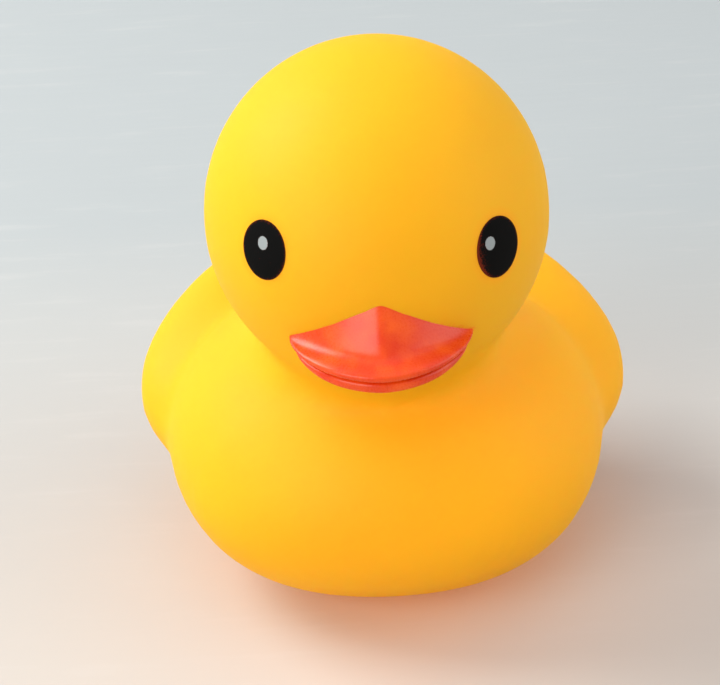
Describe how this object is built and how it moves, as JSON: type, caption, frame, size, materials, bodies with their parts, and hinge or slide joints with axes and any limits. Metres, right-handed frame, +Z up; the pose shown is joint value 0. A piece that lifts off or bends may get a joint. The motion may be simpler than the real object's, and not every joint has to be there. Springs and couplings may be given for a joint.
{
  "type": "rubber duck",
  "caption": "Squeaky bath duck: a hollow soft vinyl shell with wings, tail and bill, and a squeaker pressed into its flat base.",
  "frame": {"origin": "on the surface the duck rests on, under the middle of its bounding box", "axes": "the duck faces -Y, +X is on the right when it is seen from the front, and +Z is up"},
  "size_m": [0.081, 0.0859, 0.089],
  "materials": {
    "vinyl_shell": "satin, rotocast soft vinyl, yellow all through",
    "bill_paint": "sprayed satin vinyl paint",
    "eye_paint": "pad-printed black vinyl ink",
    "glint_paint": "pad-printed pale grey vinyl ink",
    "squeaker_plastic": "moulded natural polyethylene",
    "reed_holder_plastic": "moulded polyethylene",
    "reed_metal": "rolled strip"
  },
  "bodies": {
    "root": {"duck_shell": "vinyl_shell", "squeaker_housing": "squeaker_plastic", "reed_block": "reed_holder_plastic", "reed_clamp": "reed_holder_plastic", "reed": "reed_metal"}
  },
  "joints": []
}
